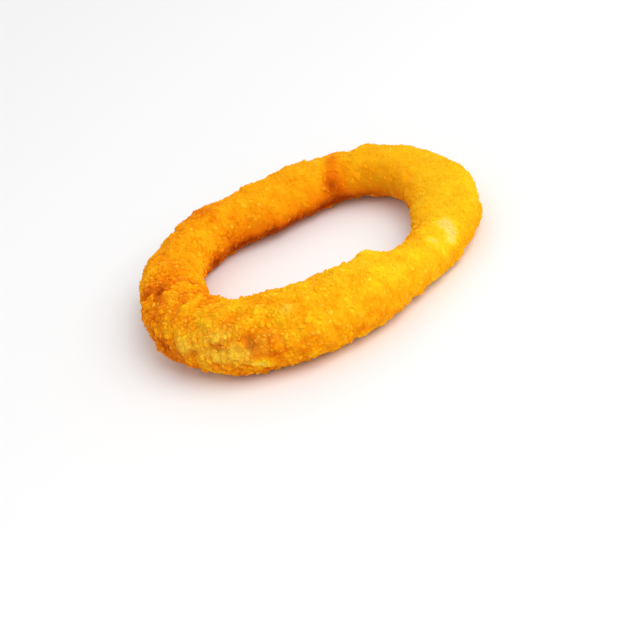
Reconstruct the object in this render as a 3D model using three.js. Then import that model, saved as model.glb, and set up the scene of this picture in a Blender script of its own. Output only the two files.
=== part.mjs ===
// A fried onion ring in a coat of fine breadcrumbs, as one solid, in millimetres.
// The ring lies flat on z = 0 with the middle of its outline over the origin, +Z up.
// Angles round the ring are in degrees, from +X towards +Y.
import * as THREE from "three";

// Driving dimensions of the bare ring, before the crust's relief is added.
const ringRadius = 31.6; // from the middle of the hole to the middle of the tube
const halfWidth = 6.9; // of the tube, along the radius
const halfHeight = 5.4; // of the tube, along Z
const squareness = 0.92; // 1 is an oval section, less is boxier, as a sliced onion is
const lift = 0.85; // of the bare ring, which the crust's tallest lumps stand on

// How the tube's path, width and height swell and thin on the way round.
// Each wave is a share of the plain size, with its count of swells and the angle of the first.
const pathWaves = [
  { swells: 2, share: 0.069, at: 26 },
  { swells: 3, share: 0.028, at: 24 },
  { swells: 4, share: 0.027, at: 55 },
  { swells: 5, share: 0.006, at: 66 },
];
const widthWaves = [
  { swells: 1, share: 0.061, at: 250 },
  { swells: 2, share: 0.071, at: 59 },
  { swells: 3, share: 0.057, at: 5 },
  { swells: 4, share: 0.094, at: 0 },
];
const heightWaves = [
  { swells: 1, share: 0.137, at: 216 },
  { swells: 2, share: 0.125, at: 69 },
  { swells: 3, share: 0.042, at: 19 },
];

// Short bulges of the tube on top of the waves. The negative one is the crease across the
// ring, where two swells of the coating meet.
const bulges = [
  { at: 61, spread: 4.2, share: -0.09 },
  { at: 131, spread: 7, share: 0.05 },
  { at: -75, spread: 10, share: 0.09 },
];

// A blob of coating on the rim of the hole.
const blob = { at: -62, spread: 6, section: 122, sectionSpread: 24, height: 2.2 };

// The crust's relief. Every size is a length: cell is the spacing of the lumps.
const lumps = { cell: 9, height: 0.7, seed: 3 };
const crags = { cell: 4.4, height: 0.7, seed: 13 };
const crumbs = { cell: 2.4, height: 0.5, seed: 23 };

// The mesh. Each step round the ring turns the section by half a side, so the steps
// are a multiple of four sides and the faces come out nearly equilateral.
const sectionSides = 38;
const ringSteps = sectionSides * 4;
const jitter = 0.22; // share of a step by which a corner is moved, so that no rows show

const crustColour = 0xe89a1c;
const crustRoughness = 0.62;

const radians = (degrees) => (degrees * Math.PI) / 180;

// A repeatable number from 0 to 1 for a whole-numbered place.
function scatter(i, j, k, seed) {
  const s = Math.sin(i * 127.1 + j * 311.7 + k * 74.7 + seed * 53.3) * 43758.5453;
  return s - Math.floor(s);
}

// One plus the waves' heights at an angle.
function swell(angle, waves) {
  const sum = waves.reduce(
    (total, wave) => total + wave.share * Math.cos(wave.swells * (angle - radians(wave.at))),
    0,
  );
  return 1 + sum;
}

// A bell: 1 at an angle and falling off over the spread, both in degrees.
function bell(angle, at, spread) {
  const away = angle - radians(at);
  const turn = Math.atan2(Math.sin(away), Math.cos(away));
  return Math.exp(-((turn / radians(spread)) ** 2));
}

// One plus the bulges' shares at an angle.
function bulge(angle) {
  return bulges.reduce((total, { at, spread, share }) => total + share * bell(angle, at, spread), 1);
}

// Domes on a scattered point in each cell of a cubic lattice: the height at a point is that
// of the tallest dome over it, so that the lumps meet in sharp valleys as crumbs do.
function domes(point, { cell, height, seed }) {
  const home = point.clone().divideScalar(cell).floor();
  let tallest = 0;
  for (let n = 0; n < 27; n++) {
    const i = home.x + (n % 3) - 1;
    const j = home.y + (Math.floor(n / 3) % 3) - 1;
    const k = home.z + Math.floor(n / 9) - 1;
    const middle = new THREE.Vector3(
      i + scatter(i, j, k, seed),
      j + scatter(i, j, k, seed + 1),
      k + scatter(i, j, k, seed + 2),
    ).multiplyScalar(cell);
    const reach = cell * (0.5 + 0.35 * scatter(i, j, k, seed + 3));
    const tall = height * (0.35 + 0.65 * scatter(i, j, k, seed + 4));
    const share = point.distanceTo(middle) / reach;
    if (share < 1) tallest = Math.max(tallest, tall * Math.sqrt(1 - share * share));
  }
  return tallest;
}

// A point of the bare ring: an angle round the ring and one round the section,
// where 0 faces out and a quarter turn faces up. The normal is the section's own.
function barePoint(around, section) {
  const wide = halfWidth * swell(around, widthWaves) * bulge(around);
  const tall = halfHeight * swell(around, heightWaves) * bulge(around);
  const boxed = (value) => Math.sign(value) * Math.abs(value) ** squareness;
  const radius = ringRadius * swell(around, pathWaves) + wide * boxed(Math.cos(section));
  const height = tall * (1 + boxed(Math.sin(section))) + lift;
  const outward = new THREE.Vector2(Math.cos(section) / wide, Math.sin(section) / tall).normalize();
  return {
    place: new THREE.Vector3(radius * Math.cos(around), radius * Math.sin(around), height),
    normal: new THREE.Vector3(
      outward.x * Math.cos(around),
      outward.x * Math.sin(around),
      outward.y,
    ),
  };
}

// How far the blob stands out at a point of the ring.
function blobRise(around, section) {
  const alongRing = bell(around, blob.at, blob.spread);
  return blob.height * alongRing * bell(section, blob.section, blob.sectionSpread);
}

// A point of the crust: the bare point raised by the relief, and pressed flat at z = 0.
function crustPoint(around, section) {
  const { place, normal } = barePoint(around, section);
  const relief = domes(place, lumps) + domes(place, crags) + domes(place, crumbs);
  const raised = place.clone().addScaledVector(normal, relief + blobRise(around, section));
  raised.z = Math.max(raised.z, 0);
  return raised;
}

function crustGeometry() {
  const positions = [];
  const faces = [];
  for (let i = 0; i < ringSteps; i++) {
    for (let j = 0; j < sectionSides; j++) {
      const shiftRound = jitter * (scatter(i, j, 0, 41) - 0.5);
      const shiftSection = jitter * (scatter(i, j, 0, 42) - 0.5);
      const around = (2 * Math.PI * (i + shiftRound)) / ringSteps;
      const section = (2 * Math.PI * (j + i / 2 + shiftSection)) / sectionSides;
      positions.push(...crustPoint(around, section).toArray());
      // The row after the last is the first one, turned by two whole turns of the section.
      const nextRow = ((i + 1) % ringSteps) * sectionSides;
      const row = i * sectionSides;
      const nextSide = (j + 1) % sectionSides;
      const sideBefore = (j + sectionSides - 1) % sectionSides;
      faces.push(row + j, nextRow + sideBefore, nextRow + j);
      faces.push(row + j, nextRow + j, row + nextSide);
    }
  }
  const geometry = new THREE.BufferGeometry();
  geometry.setAttribute("position", new THREE.Float32BufferAttribute(positions, 3));
  geometry.setIndex(faces);
  // The outline's middle goes over the origin.
  geometry.computeBoundingBox();
  const middle = geometry.boundingBox.getCenter(new THREE.Vector3());
  geometry.translate(-middle.x, -middle.y, 0);
  geometry.computeVertexNormals();
  return geometry;
}

const crustMaterial = new THREE.MeshStandardMaterial({
  color: crustColour,
  roughness: crustRoughness,
  metalness: 0,
});

const onionRing = new THREE.Mesh(crustGeometry(), crustMaterial);
onionRing.name = "onion_ring";

const part = new THREE.Group();
part.add(onionRing);

export default part;
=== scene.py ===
import bpy
import numpy as np
from mathutils import Matrix, Vector


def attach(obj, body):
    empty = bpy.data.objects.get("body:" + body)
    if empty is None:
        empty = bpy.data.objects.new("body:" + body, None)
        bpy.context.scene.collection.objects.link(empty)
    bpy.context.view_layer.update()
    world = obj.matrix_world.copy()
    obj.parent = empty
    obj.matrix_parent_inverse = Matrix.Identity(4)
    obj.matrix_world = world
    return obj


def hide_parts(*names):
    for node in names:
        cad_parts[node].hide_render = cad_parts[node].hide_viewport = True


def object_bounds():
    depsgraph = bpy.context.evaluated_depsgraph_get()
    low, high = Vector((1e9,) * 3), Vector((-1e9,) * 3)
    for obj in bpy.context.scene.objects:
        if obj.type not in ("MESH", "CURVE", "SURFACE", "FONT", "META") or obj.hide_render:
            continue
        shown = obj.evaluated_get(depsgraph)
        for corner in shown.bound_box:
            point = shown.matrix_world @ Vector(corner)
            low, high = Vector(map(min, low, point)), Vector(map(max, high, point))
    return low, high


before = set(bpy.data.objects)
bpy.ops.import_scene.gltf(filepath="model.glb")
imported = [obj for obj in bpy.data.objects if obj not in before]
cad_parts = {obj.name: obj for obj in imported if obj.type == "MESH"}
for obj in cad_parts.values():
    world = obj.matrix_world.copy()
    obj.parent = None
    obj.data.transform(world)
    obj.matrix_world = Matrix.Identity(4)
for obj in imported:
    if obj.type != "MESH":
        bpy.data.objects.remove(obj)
cadBox = [list(corner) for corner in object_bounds()]
mm = 0.001
print("frame loaded, the solid's box is", cadBox)

# The bare ring under the crust, with the solid's own sizes.
# Each wave holds its count of swells, its share of the plain size and the first swell's angle.
# Each bulge holds its angle, its spread and its share, which is negative at the crease.
# The blob is a lump of coating on the rim of the hole.
ring = {
    "radius": 31.6,
    "halfWidth": 6.9,
    "halfHeight": 5.4,
    "squareness": 0.92,
    "lift": 0.85,
    "pathWaves": [(2, 0.069, 26), (3, 0.028, 24), (4, 0.027, 55), (5, 0.006, 66)],
    "widthWaves": [(1, 0.061, 250), (2, 0.071, 59), (3, 0.057, 5), (4, 0.094, 0)],
    "heightWaves": [(1, 0.137, 216), (2, 0.125, 69), (3, 0.042, 19)],
    "bulges": [(61, 4.2, -0.09), (131, 7, 0.05), (-75, 10, 0.09)],
    "blob": {"at": -62, "spread": 6, "section": 122, "sectionSpread": 24, "height": 2.2},
    "stepsRound": 760,
    "stepsSection": 126,
}


# A repeatable number from 0 to 1 for each whole-numbered place: the fraction of a large sine.
def scatter(i, j, k, seed):
    s = np.sin(i * 127.1 + j * 311.7 + k * 74.7 + seed * 53.3) * 43758.5453
    return s - np.floor(s)


# One, plus each wave's share times the cosine of its swells times the angle from its own.
def swell(angle, waves):
    return 1 + sum(share * np.cos(swells * (angle - np.radians(at))) for swells, share, at in waves)


# The shortest turn from one angle to another, in degrees, whatever the whole turns between.
def turnBetween(angle, at):
    away = np.radians(angle - at)
    return np.degrees(np.arctan2(np.sin(away), np.cos(away)))


# A bell: e to the minus square of the turn from an angle over the spread.
def bell(angle, at, spread):
    return np.exp(-((turnBetween(angle, at) / spread) ** 2))


# The bare ring: an oval section, squared a little by a power of its sine and cosine, carried
# round a wavy circle. Gives each point and the section's own direction outwards.
def bareRing(around, section):
    degreesRound = np.degrees(around)
    bulge = 1 + sum(share * bell(degreesRound, at, spread) for at, spread, share in ring["bulges"])
    wide = ring["halfWidth"] * swell(around, ring["widthWaves"]) * bulge
    tall = ring["halfHeight"] * swell(around, ring["heightWaves"]) * bulge
    across, up = np.cos(section), np.sin(section)
    boxedAcross = np.sign(across) * np.abs(across) ** ring["squareness"]
    boxedUp = np.sign(up) * np.abs(up) ** ring["squareness"]
    radius = ring["radius"] * swell(around, ring["pathWaves"]) + wide * boxedAcross
    height = tall * (1 + boxedUp) + ring["lift"]
    outX, outZ = across / wide, up / tall
    length = np.hypot(outX, outZ)
    outX, outZ = outX / length, outZ / length
    points = np.stack([radius * np.cos(around), radius * np.sin(around), height], -1)
    outward = np.stack([outX * np.cos(around), outX * np.sin(around), outZ], -1)
    return points, outward


# The domes of every layer of the relief. Reach is in cells and height in the layer's own,
# each the least and how much more it may be. A chip's cut passes its middle at cutHeight.
domeShape = {"reach": (0.5, 0.35), "height": (0.35, 0.65), "cutHeight": 0.62}


# Domes on a scattered point in each cell of a cubic lattice: the height is that of the tallest
# dome over a point, and each dome is its own height times a power of one less the square of
# the distance from its middle. A slant cuts each by its own leaning plane into a chip.
# Gives the height, from 0 to the layer's, and a number from 0 to 1 that each dome has of its own.
def domes(points, layer):
    cell, seed = layer["cell"], layer["seed"]
    leastReach, moreReach = domeShape["reach"]
    leastHeight, moreHeight = domeShape["height"]
    home = np.floor(points / cell)
    tallest = np.zeros(len(points))
    own = np.full(len(points), 0.5)
    for n in range(27):
        i, j, k = home[:, 0] + n % 3 - 1, home[:, 1] + n // 3 % 3 - 1, home[:, 2] + n // 9 - 1
        shift = np.stack([scatter(i, j, k, seed + m) for m in range(3)], 1)
        middle = (np.stack([i, j, k], 1) + shift) * cell
        reach = cell * (leastReach + moreReach * scatter(i, j, k, seed + 3))
        tall = layer["height"] * (leastHeight + moreHeight * scatter(i, j, k, seed + 4))
        away = (points - middle) / reach[:, None]
        share = np.minimum((away**2).sum(1), 1)
        rise = tall * (1 - share) ** layer["power"]
        if layer["slant"]:
            lean = np.stack([scatter(i, j, k, seed + m) for m in (5, 6, 7)], 1) * 2 - 1
            plane = tall * (domeShape["cutHeight"] + layer["slant"] * (away * lean).sum(1))
            rise = np.clip(np.minimum(rise, plane), 0, None)
        higher = rise > tallest
        tallest = np.where(higher, rise, tallest)
        own = np.where(higher, scatter(i, j, k, seed + 8), own)
    return tallest, own


# Soft noise from 0 to 1: a random number on each corner of a lattice, blended by smooth steps.
def softNoise(points, cell, seed):
    home = np.floor(points / cell)
    share = points / cell - home
    share = share * share * (3 - 2 * share)
    total = np.zeros(len(points))
    for n in range(8):
        corner = np.array([n % 2, n // 2 % 2, n // 4])
        i, j, k = (home + corner).T
        weight = np.where(corner, share, 1 - share).prod(1)
        total += weight * scatter(i, j, k, seed)
    return total


# The crust's relief, coarse to fine. The first three layers are the solid's own, with softer
# domes, and the other two are the chips and the grit between the loose crumbs. The coat is
# lively on the left, where its relief, its tones and its crumbs vary most, and calm opposite.
crust = {
    "layers": [
        {"cell": 9, "height": 0.7, "seed": 3, "power": 1, "slant": 0},
        {"cell": 4.4, "height": 0.7, "seed": 13, "power": 1, "slant": 0},
        {"cell": 2.4, "height": 0.5, "seed": 23, "power": 0.7, "slant": 0},
        {"cell": 1.35, "height": 0.46, "seed": 37, "power": 0.5, "slant": 0.35},
        {"cell": 0.95, "height": 0.2, "seed": 53, "power": 0.5, "slant": 0.5},
    ],
    "ownLayers": 3,
    "tonedFrom": 2,  # the first layer whose domes have a tone and whose valleys get painted shade, browner
    "toneWeights": (0.4, 0.35, 0.25),
    "usualRelief": 0.42,  # of the toned layers' height, where the crust is shaded neither way
    "pitsShade": 0.6,  # how much of a pit's depth counts as valley, for the painted shade in the valleys
    "sink": 0.15,  # of the finer layers, so that the crust keeps the solid's size
    "pits": {"cell": 1.7, "height": 1.1, "seed": 71, "power": 0.5, "slant": 0},
    "pitsIn": {"at": -125, "spread": 14, "section": 18, "sectionSpread": 32},
    # short folds in the pale batter, where the coat dips
    "gaps": [
        {"at": -127, "spread": 3, "section": 18, "sectionSpread": 8, "depth": 0.75},
        {"at": -116, "spread": 2.2, "section": 16, "sectionSpread": 12, "depth": 0.75},
        {"at": -113, "spread": 2.8, "section": -4, "sectionSpread": 8, "depth": 0.7},
        {"at": -122, "spread": 2, "section": 28, "sectionSpread": 8, "depth": 0.5},
        {"at": -137, "spread": 2, "section": 6, "sectionSpread": 8, "depth": 0.5},
    ],
    "lively": {"at": -150, "spread": 90, "least": 0.22},
    "calmRelief": 0.6,  # share of the solid's own finer layers that the calmest coat keeps
    "finerCalm": 0.6,  # how much rarer the finest crumbs are where the coat is lively
    "evenLeast": 0.5,  # how dense the medium crumbs are in the calm, against the lively
    "gapBare": 0.8,  # share of the loose crumbs that a gap one millimetre deep is without
}

# How brown each part is, from 0, straw, to 1, dark brown. The base, the side wave, the blotches and
# the specks are how far it is fried; the walls, the gaps and the patches marked so add painted
# shade, and the pale streaks a painted highlight.
fryingAndShade = {
    "base": 0.45,
    "side": {"at": 165, "share": 0.14},
    # painted shade: the walls facing in and down are browner, the inner one partly by real browning
    "walls": [
        {"section": 217, "spread": 32, "amount": 0.34},
        {"section": -25, "spread": 30, "amount": 0.1},
    ],
    "patches": [
        # the crease
        {"at": 64, "spread": 6, "section": 168, "sectionSpread": 42, "amount": 0.4},
        {"at": 66, "spread": 3.5, "section": 95, "sectionSpread": 50, "amount": 0.22},
        # the far band's inner wall, its painted shade less at both ends and more low in the middle,
        # and beside the crease
        {"at": 152, "spread": 14, "section": 206, "sectionSpread": 26, "amount": -0.16},
        {"at": 30, "spread": 12, "section": 206, "sectionSpread": 26, "amount": -0.16},
        {"at": 72, "spread": 2.5, "section": 150, "sectionSpread": 40, "amount": -0.1},
        {"at": 90, "spread": 45, "section": 218, "sectionSpread": 24, "amount": 0.22},
        # the left end, the far left and the inner right, where the browning at 20 and 12 degrees is
        # painted shade, and last two red-brown spots
        {"at": -172, "spread": 12, "section": 60, "sectionSpread": 44, "amount": 0.16},
        {"at": -150, "spread": 13, "section": 0, "sectionSpread": 26, "amount": 0.13},
        {"at": -150, "spread": 10, "section": 122, "sectionSpread": 24, "amount": 0.12},
        {"at": 162, "spread": 20, "section": 130, "sectionSpread": 34, "amount": -0.13},
        {"at": 112, "spread": 14, "section": 105, "sectionSpread": 24, "amount": -0.07},
        {"at": -128, "spread": 14, "section": 112, "sectionSpread": 24, "amount": -0.09},
        {"at": 20, "spread": 20, "section": 138, "sectionSpread": 24, "amount": 0.15},
        {"at": 168, "spread": 20, "section": 175, "sectionSpread": 26, "amount": -0.14},
        {"at": 12, "spread": 26, "section": 182, "sectionSpread": 30, "amount": 0.26},
        {"at": -176, "spread": 6, "section": 82, "sectionSpread": 18, "amount": 0.14},
        {"at": 129, "spread": 5, "section": 84, "sectionSpread": 20, "amount": 0.18},
        # the pale streaks on the right, paler batter with a painted highlight
        {"at": -26, "spread": 3, "section": 66, "sectionSpread": 20, "amount": -0.28},
        {"at": -29, "spread": 2.9, "section": 44, "sectionSpread": 20, "amount": -0.36},
        {"at": -33, "spread": 2.9, "section": 24, "sectionSpread": 18, "amount": -0.36},
        {"at": -38, "spread": 1.8, "section": 58, "sectionSpread": 14, "amount": -0.3},
        {"at": -40, "spread": 2, "section": 22, "sectionSpread": 30, "amount": -0.24},
        # a pale flake, the near band and the right end, the blob, the inner far right, whose
        # browning is painted shade, a fold
        {"at": -114, "spread": 3, "section": -17, "sectionSpread": 13, "amount": -0.5},
        {"at": -60, "spread": 30, "section": 55, "sectionSpread": 40, "amount": -0.06},
        {"at": -30, "spread": 14, "section": 132, "sectionSpread": 28, "amount": 0.22},
        {"at": -25, "spread": 14, "section": 0, "sectionSpread": 30, "amount": 0.12},
        {"at": -61, "spread": 7, "section": 118, "sectionSpread": 22, "amount": -0.22},
        {"at": 49, "spread": 9, "section": 142, "sectionSpread": 22, "amount": 0.07},
        {"at": -113, "spread": 3.5, "section": 24, "sectionSpread": 18, "amount": 0.22},
    ],
    "blotches": {"cell": 7, "seed": 91, "share": 0.12},
    "specks": {"cell": 2.6, "seed": 97, "share": 0.2},
    "gaps": 0.24,  # painted shade: browner for each millimetre of a gap's depth
    "gapPale": 0.8,  # how much of the pale batter a gap one millimetre deep is without, so that its painted shade stays brown
    "paleBatter": {"at": -125, "spread": 17, "section": 22, "sectionSpread": 34},
    "paleIslands": {"cell": 3.2, "seed": 83, "from": 0.4, "to": 0.6, "share": 0.45},
    "flakeLeast": 0.4,  # what the noise that makes a flake ragged starts from
    "paleFlakes": [
        {"at": -140, "spread": 3, "section": 16, "sectionSpread": 12, "share": 1.3},
        {"at": -127, "spread": 4.5, "section": 4, "sectionSpread": 9, "share": 1.3},
        {"at": -119, "spread": 2.6, "section": 8, "sectionSpread": 13, "share": 1.4},
        {"at": -126, "spread": 3, "section": 36, "sectionSpread": 8, "share": 1},
        {"at": -103, "spread": 2, "section": 62, "sectionSpread": 8, "share": 1},
    ],
}


# A patch: the product of a bell round the ring and a bell round the section.
def patch(around, section, place):
    alongRing = bell(np.degrees(around), place["at"], place["spread"])
    return alongRing * bell(np.degrees(section), place["section"], place["sectionSpread"])


# The sum of a base, a wave round the ring, a bell for each wall, the patches, a share of how
# deep the gaps are, and soft noise that is weaker where the coat is calm. The walls' bells, the
# gaps' share and some of the patches are painted shade, and the pale streaks a painted highlight.
def friedAndShadeAt(around, section, points, lively, gapDepth):
    side = fryingAndShade["side"]
    amount = fryingAndShade["base"] + side["share"] * np.cos(around - np.radians(side["at"]))
    for wall in fryingAndShade["walls"]:
        amount += wall["amount"] * bell(np.degrees(section), wall["section"], wall["spread"])
    for place in fryingAndShade["patches"]:
        amount += place["amount"] * patch(around, section, place)
    for spots in (fryingAndShade["blotches"], fryingAndShade["specks"]):
        noise = softNoise(points, spots["cell"], spots["seed"])
        amount += spots["share"] * (2 * noise - 1) * lively
    return amount + fryingAndShade["gaps"] * gapDepth


# How much pale batter shows: its patch, broken into islands by soft noise between two levels,
# and the flakes of it, whose edges the same noise makes ragged. Less shows in the gaps.
def paleAt(around, section, points, gapDepth):
    islands = fryingAndShade["paleIslands"]
    noise = softNoise(points, islands["cell"], islands["seed"])
    shore = np.clip((noise - islands["from"]) / (islands["to"] - islands["from"]), 0, 1)
    pale = islands["share"] * shore * patch(around, section, fryingAndShade["paleBatter"])
    for flake in fryingAndShade["paleFlakes"]:
        pale += flake["share"] * patch(around, section, flake) * (fryingAndShade["flakeLeast"] + noise)
    return np.clip(pale, 0, 1) * np.clip(1 - fryingAndShade["gapPale"] * gapDepth, 0, 1)


# The crust at each pair of angles: the bare point raised along the section's own direction by
# the sum of the layers and the blob, less the sink, the pits where the batter is pale and the
# gaps, and pressed flat at z = 0. The finer layers and the changes of tone are cut by how
# lively the coat is: the least, and a bell round the ring for the rest. Tone and relief run
# from 0 to 1 about a half. Calm, even and clear are shares that crumbs are scattered by.
def crustAt(around, section):
    bare, outward = bareRing(around, section)
    heights, owns = zip(*[domes(bare, layer) for layer in crust["layers"]])
    ownCount = crust["ownLayers"]
    least = crust["lively"]["least"]
    spread = bell(np.degrees(around), crust["lively"]["at"], crust["lively"]["spread"])
    lively = least + (1 - least) * spread
    kept = crust["calmRelief"] + (1 - crust["calmRelief"]) * spread
    solidRise = heights[0] + sum(heights[1:ownCount]) * kept
    fineRise = sum(heights[ownCount:]) * lively
    pitHeight, _ = domes(bare, crust["pits"])
    pitShare = patch(around, section, crust["pitsIn"])
    blobRise = ring["blob"]["height"] * patch(around, section, ring["blob"])
    gapDepth = sum(gap["depth"] * patch(around, section, gap) for gap in crust["gaps"])
    rise = solidRise + blobRise + fineRise - crust["sink"] - pitHeight * pitShare - gapDepth
    points = bare + outward * rise[:, None]
    points[:, 2] = np.maximum(points[:, 2], 0)
    toned = slice(crust["tonedFrom"], None)
    tallest = sum(layer["height"] for layer in crust["layers"][toned])
    # painted shade: lower in the valleys, the pits and the gaps, where the material browns the
    # crust, and higher on the domes' tops, where it paints them paler
    relief = sum(heights[toned]) / tallest - crust["pitsShade"] * pitHeight * pitShare - gapDepth
    tone = sum(weight * own for weight, own in zip(crust["toneWeights"], owns[toned]))
    return {
        "points": points,
        "fried": friedAndShadeAt(around, section, bare, lively, gapDepth),
        "lively": lively,
        "calm": 1 - crust["finerCalm"] * spread,
        "even": crust["evenLeast"] + (1 - crust["evenLeast"]) * spread,
        "clear": 1 - crust["gapBare"] * np.minimum(gapDepth, 1),
        "tone": 0.5 + (tone - 0.5) * lively,
        "relief": np.clip(0.5 + (relief - crust["usualRelief"]) * lively, 0, 1),
        "pale": paleAt(around, section, bare, gapDepth),
    }


# The crust's grid: every step round the ring by every step round the section, and the middle
# of the box that it fills moved over the origin, as the solid's is. The normals are the cross
# products of the steps to both sides, and the areas are these products' lengths.
def crustGrid():
    rounds, sections = ring["stepsRound"], ring["stepsSection"]
    i, j = np.meshgrid(np.arange(rounds), np.arange(sections), indexing="ij")
    around = 2 * np.pi * i.ravel() / rounds
    section = 2 * np.pi * j.ravel() / sections
    grid = crustAt(around, section)
    middle = (grid["points"].min(0) + grid["points"].max(0)) / 2
    grid["points"][:, :2] -= middle[:2]
    shaped = grid["points"].reshape(rounds, sections, 3)
    alongRing = np.roll(shaped, -1, 0) - np.roll(shaped, 1, 0)
    alongSection = np.roll(shaped, -1, 1) - np.roll(shaped, 1, 1)
    cross = np.cross(alongRing, alongSection).reshape(-1, 3)
    grid["area"] = np.linalg.norm(cross, axis=1)
    grid["normals"] = cross / np.maximum(grid["area"], 1e-9)[:, None]
    return grid


# A mesh object at the origin from points in millimetres, faces and one number a point for
# each named attribute.
def addPiece(name, points, faces, attributes, material, smooth):
    mesh = bpy.data.meshes.new(name)
    mesh.from_pydata((points * mm).tolist(), [], faces)
    for label in sorted(attributes):
        layer = mesh.attributes.new(label, "FLOAT", "POINT")
        layer.data.foreach_set("value", attributes[label].astype(np.float32))
    mesh.materials.append(material)
    if smooth:
        mesh.shade_smooth()
    mesh.update()
    piece = bpy.data.objects.new(name, mesh)
    bpy.context.scene.collection.objects.link(piece)
    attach(piece, "root")
    print(name, "has", len(points), "points and", len(faces), "faces")
    return piece


# The colours that the crust's ramp runs through as it fries, how its surface takes light, and
# how far light glows through it.
crustFinish = {
    "colours": [
        (0.0, (0.98, 0.6, 0.12)),
        (0.15, (0.97, 0.59, 0.018)),
        (0.25, (0.97, 0.52, 0.007)),
        (0.5, (0.95, 0.35, 0.0025)),
        (0.75, (0.78, 0.17, 0.001)),
        (1.0, (0.36, 0.045, 0.0005)),
    ],
    "paleColour": (0.96, 0.52, 0.03),
    "toneShare": 0.12,
    # painted shade and light: browner in the valleys, paler on the tops
    "reliefShare": -0.26,
    "mottleSize": 1.0,
    "mottleDetail": 1,
    "mottleShare": 0.12,
    "grainSize": 0.35,
    "grainDetail": 2,
    "grainDepth": 0.1,
    "noiseRoughness": 0.5,
    "roughness": 0.55,
    "specular": 0.02,
    "sheen": 0.06,
    "sheenRoughness": 0.4,
    "sheenTint": (1, 0.5, 0.05, 1),
    "glow": 0.6,
    "glowReach": 1.5,
    "glowColour": (1, 0.5, 0.2),
}


# A node of a type in a tree, with its values set and its sockets linked.
def addNode(tree, kind, inputs=(), **values):
    node = tree.nodes.new(kind)
    for key, value in values.items():
        setattr(node, key, value)
    for socket, value in dict(inputs).items():
        if isinstance(value, bpy.types.NodeSocket):
            tree.links.new(value, node.inputs[socket])
        else:
            node.inputs[socket].default_value = value
    return node


# A material whose colour runs along the ramp by how far each point is fried, with its painted shade,
# plus a share of its tone, of its relief, which paints shade in the valleys and light on the tops,
# and of soft mottling, each less a half, and is mixed with the pale one.
def makeCrustMaterial(name, finish):
    material = bpy.data.materials.new(name)
    material.use_nodes = True
    tree = material.node_tree
    tree.nodes.clear()
    place = addNode(tree, "ShaderNodeTexCoord").outputs["Object"]

    def attribute(label):
        return addNode(tree, "ShaderNodeAttribute", attribute_name=label).outputs["Fac"]

    def plusShare(total, value, share):
        part = addNode(tree, "ShaderNodeMath", {0: value, 1: 0.5}, operation="SUBTRACT")
        return addNode(
            tree,
            "ShaderNodeMath",
            {0: part.outputs[0], 1: share, 2: total},
            operation="MULTIPLY_ADD",
        ).outputs[0]

    def noise(size, detail):
        return addNode(
            tree,
            "ShaderNodeTexNoise",
            {
                "Vector": place,
                "Scale": 1 / (size * mm),
                "Detail": detail,
                "Roughness": finish["noiseRoughness"],
            },
        ).outputs["Fac"]

    mottle = noise(finish["mottleSize"], finish["mottleDetail"])
    grain = noise(finish["grainSize"], finish["grainDetail"])
    brown = attribute("fried")
    brown = plusShare(brown, attribute("tone"), finish["toneShare"])
    brown = plusShare(brown, attribute("relief"), finish["reliefShare"])
    brown = plusShare(brown, mottle, finish["mottleShare"])
    ramp = addNode(tree, "ShaderNodeValToRGB", {"Fac": brown})
    stops = ramp.color_ramp.elements
    while len(stops) < len(finish["colours"]):
        stops.new(0.5)
    for stop, (position, colour) in zip(stops, finish["colours"]):
        stop.position = position
        stop.color = (*colour, 1)
    mixed = addNode(
        tree,
        "ShaderNodeMix",
        # sockets 6 and 7 are the two colours
        {"Factor": attribute("pale"), 6: ramp.outputs["Color"], 7: (*finish["paleColour"], 1)},
        data_type="RGBA",
        blend_type="MIX",
    )
    bump = addNode(
        tree,
        "ShaderNodeBump",
        {"Height": grain, "Distance": finish["grainDepth"] * mm},
    )
    shader = addNode(
        tree,
        "ShaderNodeBsdfPrincipled",
        {
            "Base Color": mixed.outputs[2],
            "Normal": bump.outputs["Normal"],
            "Roughness": finish["roughness"],
            "Specular IOR Level": finish["specular"],
            "Sheen Weight": finish["sheen"],
            "Sheen Roughness": finish["sheenRoughness"],
            "Sheen Tint": finish["sheenTint"],
            "Subsurface Weight": finish["glow"],
            "Subsurface Radius": finish["glowColour"],
            "Subsurface Scale": finish["glowReach"] * mm,
        },
    )
    addNode(tree, "ShaderNodeOutputMaterial", {"Surface": shader.outputs["BSDF"]})
    return material


crustMaterial = makeCrustMaterial("crumbCrust", crustFinish)
crumbFinish = {**crustFinish, "glow": 0.5, "glowReach": 0.2, "glowColour": (1, 0.8, 0.5)}
crumbMaterial = makeCrustMaterial("looseCrumbs", crumbFinish)
flakeFinish = {**crumbFinish, "paleColour": (1, 0.62, 0.06)}
flakeMaterial = makeCrustMaterial("barelyFriedCrumbs", flakeFinish)
print("crust and crumb materials made")

grid = crustGrid()
print("crust worked out,", len(grid["points"]), "points")


# The crust itself: the grid closed both ways, with faces wound to look outwards.
def makeCrust():
    rounds, sections = ring["stepsRound"], ring["stepsSection"]
    index = np.arange(rounds * sections).reshape(rounds, sections)
    nextRound = np.roll(index, -1, 0)
    faces = np.stack([index, nextRound, np.roll(nextRound, -1, 1), np.roll(index, -1, 1)], -1)
    attributes = {label: grid[label] for label in ("fried", "tone", "relief", "pale")}
    faces = faces.reshape(-1, 4).tolist()
    piece = addPiece("crust", grid["points"], faces, attributes, crustMaterial, smooth=True)
    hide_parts("onion_ring")


makeCrust()

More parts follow.
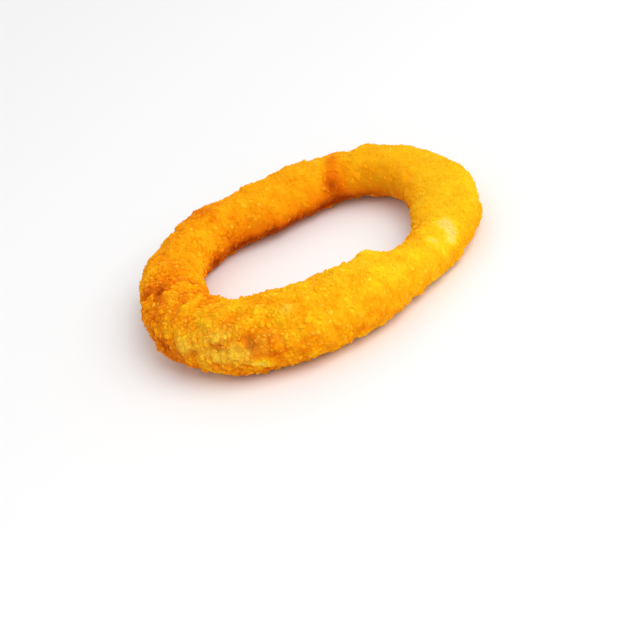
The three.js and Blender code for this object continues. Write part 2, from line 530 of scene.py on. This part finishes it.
# The loose crumbs, one dictionary for each piece. Sizes are the smallest and largest half
# length, slim is the least and most of the other half lengths against it, sunk is how far the
# middle lies under the crust, in half lengths, and stand is the share of its height that a
# crumb keeps, since all are pressed on. Browner is added to how far the crust there is fried,
# painted shade included. Where names the grid's share that they are scattered by, and pale is
# how much of the pale colour each has at least.
gritCrumbs = {
    "count": 10000, "size": (0.14, 0.26), "slim": (0.4, 0.95), "stand": (0.8, 1), "sides": 4,
    "rings": 2, "sunk": (-0.1, 0.4), "browner": (-0.05, 0.05), "where": "calm", "seed": 107,
}
fineCrumbs = {
    "count": 12000, "size": (0.22, 0.42), "slim": (0.4, 0.95), "stand": (0.8, 1), "sides": 4,
    "rings": 2, "sunk": (0, 0.5), "browner": (-0.05, 0.05), "where": "calm", "seed": 101,
}
mediumCrumbs = {
    "count": 6600, "size": (0.34, 0.78), "slim": (0.4, 0.9), "stand": (0.7, 1), "sides": 5,
    "rings": 3, "sunk": (0.1, 0.6), "browner": (-0.07, 0.07), "where": "even", "seed": 105,
}
coarseCrumbs = {
    "count": 1800, "size": (0.6, 0.95), "slim": (0.5, 0.9), "stand": (0.6, 0.9), "sides": 6,
    "rings": 4, "sunk": (0.2, 0.7), "browner": (-0.1, 0.06), "where": "lively", "seed": 102,
}
toastedCrumbs = {
    "count": 300, "size": (0.25, 0.5), "slim": (0.4, 0.9), "stand": (0.5, 0.9), "sides": 6,
    "rings": 4, "sunk": (0, 0.4), "browner": (0.08, 0.24), "where": "lively", "seed": 103,
}
paleFlakes = {
    "count": 1800, "size": (0.28, 0.7), "slim": (0.5, 0.9), "stand": (0.5, 0.9), "sides": 6,
    "rings": 3, "sunk": (0.1, 0.5), "browner": (-0.2, -0.02), "where": "lively", "seed": 104,
    "pale": (-0.3, 0.4),
}
batterRubble = {
    "count": 160, "size": (0.4, 0.9), "slim": (0.35, 0.8), "stand": (0.4, 0.9), "sides": 6,
    "rings": 4, "sunk": (0, 0.4), "browner": (-0.2, 0.1), "where": "pale", "seed": 106,
}

# How every crumb is cut and shaded. Its planes are at cutDistance from its middle, in half
# lengths, and no corner is further than furthest.
crumbShape = {
    "planes": 7,
    "cutDistance": (0.6, 0.95),
    "leastCosine": 0.3,  # so that a plane leaves the crumb's other side alone
    "furthest": 1.15,
    "calmPress": 0.2,  # the power of lively that the calm coat's crumbs are pressed down by
    "headroom": 0.3,  # how far over the solid's top a crumb may stand, in millimetres
    "usualGround": 0.45,  # the crust's relief that shades a crumb neither way
    # the shares of the ground's relief and of a crumb's rise in its painted shade, browner at the
    # foot and in the valleys, paler on top
    "groundShare": 0.8,
    "riseShare": 0.3,
}


# Directions over a ball: rings of sides between two poles, each half a side further round.
def ballDirections(sides, rings):
    down = np.pi * (np.arange(rings) + 1) / (rings + 1)
    turn = 2 * np.pi * (np.arange(sides)[None, :] + 0.5 * np.arange(rings)[:, None]) / sides
    level = np.broadcast_to(np.cos(down)[:, None], turn.shape)
    wide = np.sin(down)[:, None]
    body = np.stack([wide * np.cos(turn), wide * np.sin(turn), level], -1).reshape(-1, 3)
    return np.vstack([[0, 0, 1], body, [0, 0, -1]])


# Triangles of that ball: a fan at each pole, and two to each side between the rings.
def ballFaces(sides, rings):
    side = np.arange(sides)
    after = (side + 1) % sides
    last = 1 + (rings - 1) * sides
    faces = [np.stack([0 * side, 1 + side, 1 + after], 1)]
    for row in range(rings - 1):
        top, low = 1 + row * sides, 1 + (row + 1) * sides
        faces.append(np.stack([top + side, low + side, top + after], 1))
        faces.append(np.stack([top + after, low + side, low + after], 1))
    faces.append(np.stack([last + after, last + side, 0 * side + last + sides], 1))
    return np.vstack(faces)


# Random turns: the rotation matrices of unit quaternions drawn evenly.
def randomTurns(draw, count):
    quaternions = draw.normal(size=(count, 4))
    w, x, y, z = quaternions.T / np.linalg.norm(quaternions, axis=1)
    rows = [
        [1 - 2 * (y * y + z * z), 2 * (x * y - z * w), 2 * (x * z + y * w)],
        [2 * (x * y + z * w), 1 - 2 * (x * x + z * z), 2 * (y * z - x * w)],
        [2 * (x * z - y * w), 2 * (y * z + x * w), 1 - 2 * (x * x + y * y)],
    ]
    return np.stack([np.stack(row, -1) for row in rows], -2)


# Crumbs scattered by the crust's area times the kind's own share. Each is a ball cut by flat
# planes: its radius in a direction is the least of the planes' distances over the direction's
# cosine with each. It is squeezed to its own half lengths and turned at random. Its height
# over the crust, less what it is sunk, is then cut to the share that it stands, which is less
# where the coat is calm. Its relief is the crust's own and grows with that height, so that its
# foot and the crumbs in the valleys get painted shade, browner, and its top a painted highlight,
# paler. Those under the floor or too high go.
def makeCrumbs(name, kind, material=crumbMaterial):
    draw = np.random.default_rng(kind["seed"])
    count = kind["count"]
    chance = grid["area"] * grid[kind["where"]] * grid["clear"]
    spot = draw.choice(len(chance), count, p=chance / chance.sum())
    lively = grid["lively"][spot]
    normals = grid["normals"][spot][:, None, :]
    size = draw.uniform(*kind["size"], count)
    directions = ballDirections(kind["sides"], kind["rings"])
    cuts = draw.normal(size=(count, crumbShape["planes"], 3))
    cuts /= np.linalg.norm(cuts, axis=2, keepdims=True)
    distance = draw.uniform(*crumbShape["cutDistance"], (count, crumbShape["planes"], 1))
    cosines = np.maximum(cuts @ directions.T, crumbShape["leastCosine"])
    radius = np.minimum((distance / cosines).min(1), crumbShape["furthest"])
    squeeze = np.stack([np.ones(count), *draw.uniform(*kind["slim"], (2, count))], 1)
    body = directions * radius[..., None] * (squeeze * size[:, None])[:, None, :]
    body = np.einsum("nij,nkj->nki", randomTurns(draw, count), body)
    height = (body * normals).sum(2)
    rise = height - (draw.uniform(*kind["sunk"], count) * size)[:, None]
    stand = draw.uniform(*kind["stand"], count) * lively ** crumbShape["calmPress"]
    body += normals * (rise * stand[:, None] - height)[..., None]
    points = grid["points"][spot][:, None, :] + body
    highest = cadBox[1][2] / mm + crumbShape["headroom"]
    fits = (points[..., 2].min(1) > 0) & (points[..., 2].max(1) < highest)
    points = points[fits]
    faces = ballFaces(kind["sides"], kind["rings"])
    faces = faces[None] + (np.arange(len(points)) * len(directions))[:, None, None]
    each = {
        "fried": grid["fried"][spot] + draw.uniform(*kind["browner"], count) * lively,
        "tone": 0.5 + draw.uniform(-0.5, 0.5, count) * lively,
        "pale": np.maximum(grid["pale"][spot], draw.uniform(*kind.get("pale", (0, 0)), count)),
    }
    attributes = {label: np.repeat(each[label][fits], len(directions)) for label in each}
    ground = 0.5 + crumbShape["groundShare"] * (grid["relief"][spot] - crumbShape["usualGround"])
    risen = ground[:, None] + crumbShape["riseShare"] * rise / size[:, None] * lively[:, None]
    attributes["relief"] = np.clip(risen[fits], 0, 1).ravel()
    faces = faces.reshape(-1, 3).tolist()
    addPiece(name, points.reshape(-1, 3), faces, attributes, material, smooth=False)


makeCrumbs("grit_crumbs", gritCrumbs)
makeCrumbs("fine_crumbs", fineCrumbs)
makeCrumbs("medium_crumbs", mediumCrumbs)
makeCrumbs("coarse_crumbs", coarseCrumbs)
makeCrumbs("toasted_crumbs", toastedCrumbs)
makeCrumbs("pale_flakes", paleFlakes, flakeMaterial)
makeCrumbs("batter_rubble", batterRubble)

# The surface that the ring lies on.
# Half its width is in metres.
floor = {"half": 30.0, "colour": (0.88, 0.88, 0.88), "roughness": 0.6, "specular": 0.1}


# A square of one face at z = 0, half its width to each side of the origin.
def makeFloor():
    mesh = bpy.data.meshes.new("floor")
    half = floor["half"]
    corners = [(-half, -half, 0), (half, -half, 0), (half, half, 0), (-half, half, 0)]
    mesh.from_pydata(corners, [], [(0, 1, 2, 3)])
    material = bpy.data.materials.new("paleFloor")
    material.use_nodes = True
    shader = material.node_tree.nodes["Principled BSDF"]
    shader.inputs["Base Color"].default_value = (*floor["colour"], 1)
    shader.inputs["Roughness"].default_value = floor["roughness"]
    shader.inputs["Specular IOR Level"].default_value = floor["specular"]
    mesh.materials.append(material)
    stage = bpy.data.objects.new("floor", mesh)
    bpy.context.scene.collection.objects.link(stage)


makeFloor()

# Soft studio light. Places are metres, strengths watts, and each light looks at the ring.
studio = {
    "sky": 0.64,
    "lamps": [
        {"name": "keyLight", "place": (0.48, -0.42, 0.65), "size": 0.8, "watts": 6.6},
        {"name": "backLight", "place": (-0.1, 0.7, 0.6), "size": 0.6, "watts": 0.8},
        {"name": "frontLight", "place": (-0.2, -0.8, 0.2), "size": 0.4, "watts": 0.4},
    ],
}


# An even white sky, and square lamps at their places, each turned with its face to the origin.
def makeLights():
    world = bpy.data.worlds.new("studioSky")
    bpy.context.scene.world = world
    world.use_nodes = True
    background = world.node_tree.nodes["Background"]
    background.inputs["Color"].default_value = (1, 1, 1, 1)
    background.inputs["Strength"].default_value = studio["sky"]
    for lamp in studio["lamps"]:
        light = bpy.data.lights.new(lamp["name"], "AREA")
        light.size = lamp["size"]
        light.energy = lamp["watts"]
        holder = bpy.data.objects.new(lamp["name"], light)
        holder.location = lamp["place"]
        holder.rotation_euler = (-Vector(lamp["place"])).to_track_quat("-Z", "Y").to_euler()
        bpy.context.scene.collection.objects.link(holder)


makeLights()

# The photograph's view of the ring. The roll stands for the ring's lean there.
view = {
    "distance": 417.6,
    "elevation": 28.45,
    "roll": 20.37,
    "lens": 105,
    "sensor": 36,
    "nearest": 10,
    "target": (0, 0, 6.25),
    "targetPixel": (310.3, 253.2),  # where the photograph, 640 pixels square, shows the target
    "imagePixels": 640,
}


# The camera stands back from the target along the line of sight, and turns so that the target
# falls on its own pixel: it aims at the target less the pixel's offset at that distance.
def makeCamera():
    camera = bpy.data.cameras.new("camera")
    camera.lens = view["lens"]
    camera.sensor_width = view["sensor"]
    camera.sensor_fit = "HORIZONTAL"
    camera.clip_start = view["nearest"] * mm
    tilt, roll = np.radians(view["elevation"]), np.radians(view["roll"])
    forward = Vector((0, np.cos(tilt), -np.sin(tilt)))
    right, up = Vector((1, 0, 0)), Vector((0, np.sin(tilt), np.cos(tilt)))
    imageRight = right * np.cos(roll) - up * np.sin(roll)
    imageUp = right * np.sin(roll) + up * np.cos(roll)
    target = Vector(view["target"]) * mm
    place = target - forward * view["distance"] * mm
    perPixel = view["sensor"] / view["lens"] / view["imagePixels"] * view["distance"] * mm
    half = view["imagePixels"] / 2
    offset = (view["targetPixel"][0] - half) * imageRight + (half - view["targetPixel"][1]) * imageUp
    backward = (place - (target - offset * perPixel)).normalized()
    cameraRight = imageUp.cross(backward).normalized()
    cameraUp = backward.cross(cameraRight)
    holder = bpy.data.objects.new("camera", camera)
    turn = Matrix((cameraRight, cameraUp, backward)).transposed()
    holder.matrix_world = Matrix.Translation(place) @ turn.to_4x4()
    bpy.context.scene.collection.objects.link(holder)
    bpy.context.scene.camera = holder


makeCamera()
bpy.context.scene.view_settings.view_transform = "Standard"
print("floor, lights and camera placed")
